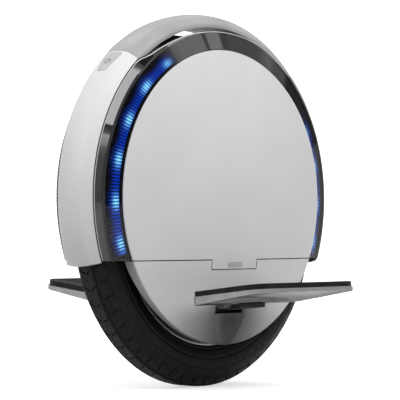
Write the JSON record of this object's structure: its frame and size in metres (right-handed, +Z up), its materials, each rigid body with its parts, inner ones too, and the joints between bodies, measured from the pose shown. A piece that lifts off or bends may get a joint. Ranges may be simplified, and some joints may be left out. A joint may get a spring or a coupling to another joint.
{
  "type": "electric unicycle",
  "caption": "Self-balancing electric unicycle: hub-motor wheel inside a round two-sided shell with lit rings, a carrying handle over a finger slot and folding footrests.",
  "frame": {"origin": "on the ground under the wheel's centre", "axes": "+X forward, +Y to the rider's left, +Z up"},
  "size_m": [0.444, 0.3494, 0.45],
  "materials": {
    "white_shell": "semi-matte white moulded plastic",
    "button_grey": "pale grey moulded plastic",
    "silver_grip": "silver-grey painted plastic, satin",
    "smoked_lens": "smoked clear plastic, polished",
    "light_blue_guide": "clear ribbed plastic lit blue",
    "lamp_chip": "lamp chip under clear resin",
    "black_moulding": "black moulded plastic",
    "tyre_rubber": "black tyre rubber",
    "soft_rubber": "black soft rubber",
    "cast_aluminium": "cast aluminium, fine blasted",
    "dark_casting": "aluminium casting, painted dark grey",
    "bright_steel": "zinc-plated or ground steel",
    "nickel_magnet": "nickel-plated magnet",
    "copper_winding": "enamelled copper wire",
    "brass_valve": "nickel-plated brass",
    "circuit_board": "green circuit board",
    "cell_sleeve": "sleeved round cell"
  },
  "bodies": {
    "chassis": {"front_fender": "white_shell", "rear_fender": "white_shell", "upper_cover_left": "white_shell", "upper_cover_right": "white_shell", "lower_cover_left": "white_shell", "lower_cover_right": "white_shell", "handle": "silver_grip", "light_lens_left": "smoked_lens", "light_lens_right": "smoked_lens", "light_guide_left": "light_blue_guide", "light_guide_right": "light_blue_guide", "led_chips": "lamp_chip", "inner_shell_left": "black_moulding", "inner_shell_right": "black_moulding", "light_housing_left": "black_moulding", "light_housing_right": "black_moulding", "battery_holder": "black_moulding", "button_switch": "black_moulding", "charge_socket": "black_moulding", "buzzer": "black_moulding", "power_transistors": "black_moulding", "capacitors": "black_moulding", "stator_hub": "cast_aluminium", "heat_sink": "cast_aluminium", "pedal_bracket_left": "dark_casting", "pedal_bracket_right": "dark_casting", "axle": "bright_steel", "bearing_inner_races": "bright_steel", "axle_nuts": "bright_steel", "axle_washers": "bright_steel", "handle_screws": "bright_steel", "bracket_screws": "bright_steel", "hinge_pins": "bright_steel", "charge_cover_pin": "bright_steel", "stator_core": "bright_steel", "stator_windings": "copper_winding", "led_strip_left": "circuit_board", "led_strip_right": "circuit_board", "battery_board": "circuit_board", "control_board": "circuit_board", "battery_cells": "cell_sleeve"},
    "wheel": {"tyre": "tyre_rubber", "inner_tube": "soft_rubber", "wheel_rim": "cast_aluminium", "valve_stem": "brass_valve", "valve_cap": "soft_rubber", "motor_back_iron": "bright_steel", "rotor_magnets": "nickel_magnet", "motor_cover_left": "cast_aluminium", "motor_cover_right": "cast_aluminium", "motor_cover_screws": "bright_steel", "bearing_outer_races": "bright_steel", "bearing_balls": "bright_steel"},
    "left_pedal": {"pedal_left": "cast_aluminium", "pedal_pad_left": "soft_rubber"},
    "right_pedal": {"pedal_right": "cast_aluminium", "pedal_pad_right": "soft_rubber"},
    "power_button": {"power_button": "button_grey"},
    "charge_flap": {"charge_port_cover": "white_shell"}
  },
  "joints": [
    {"name": "wheel_spin", "type": "hinge", "parent": "chassis", "child": "wheel", "pos_m": [0, 0, 0.202], "axis": [0, 1, 0], "continuous": true},
    {"name": "left_pedal_fold", "type": "hinge", "parent": "chassis", "child": "left_pedal", "pos_m": [0, 0.0686, 0.10403], "axis": [1, 0, 0], "range_deg": [0, 75]},
    {"name": "right_pedal_fold", "type": "hinge", "parent": "chassis", "child": "right_pedal", "pos_m": [0, -0.0686, 0.10403], "axis": [-1, 0, 0], "range_deg": [0, 75]},
    {"name": "power_button_press", "type": "slide", "parent": "chassis", "child": "power_button", "axis": [-0.7071, 0, -0.7071], "range_m": [0, 0.0015], "stiffness_N_per_m": 800},
    {"name": "charge_flap_open", "type": "hinge", "parent": "chassis", "child": "charge_flap", "pos_m": [-0.16692, 0, 0.37099], "axis": [0, -1, 0], "range_deg": [0, 75]}
  ]
}
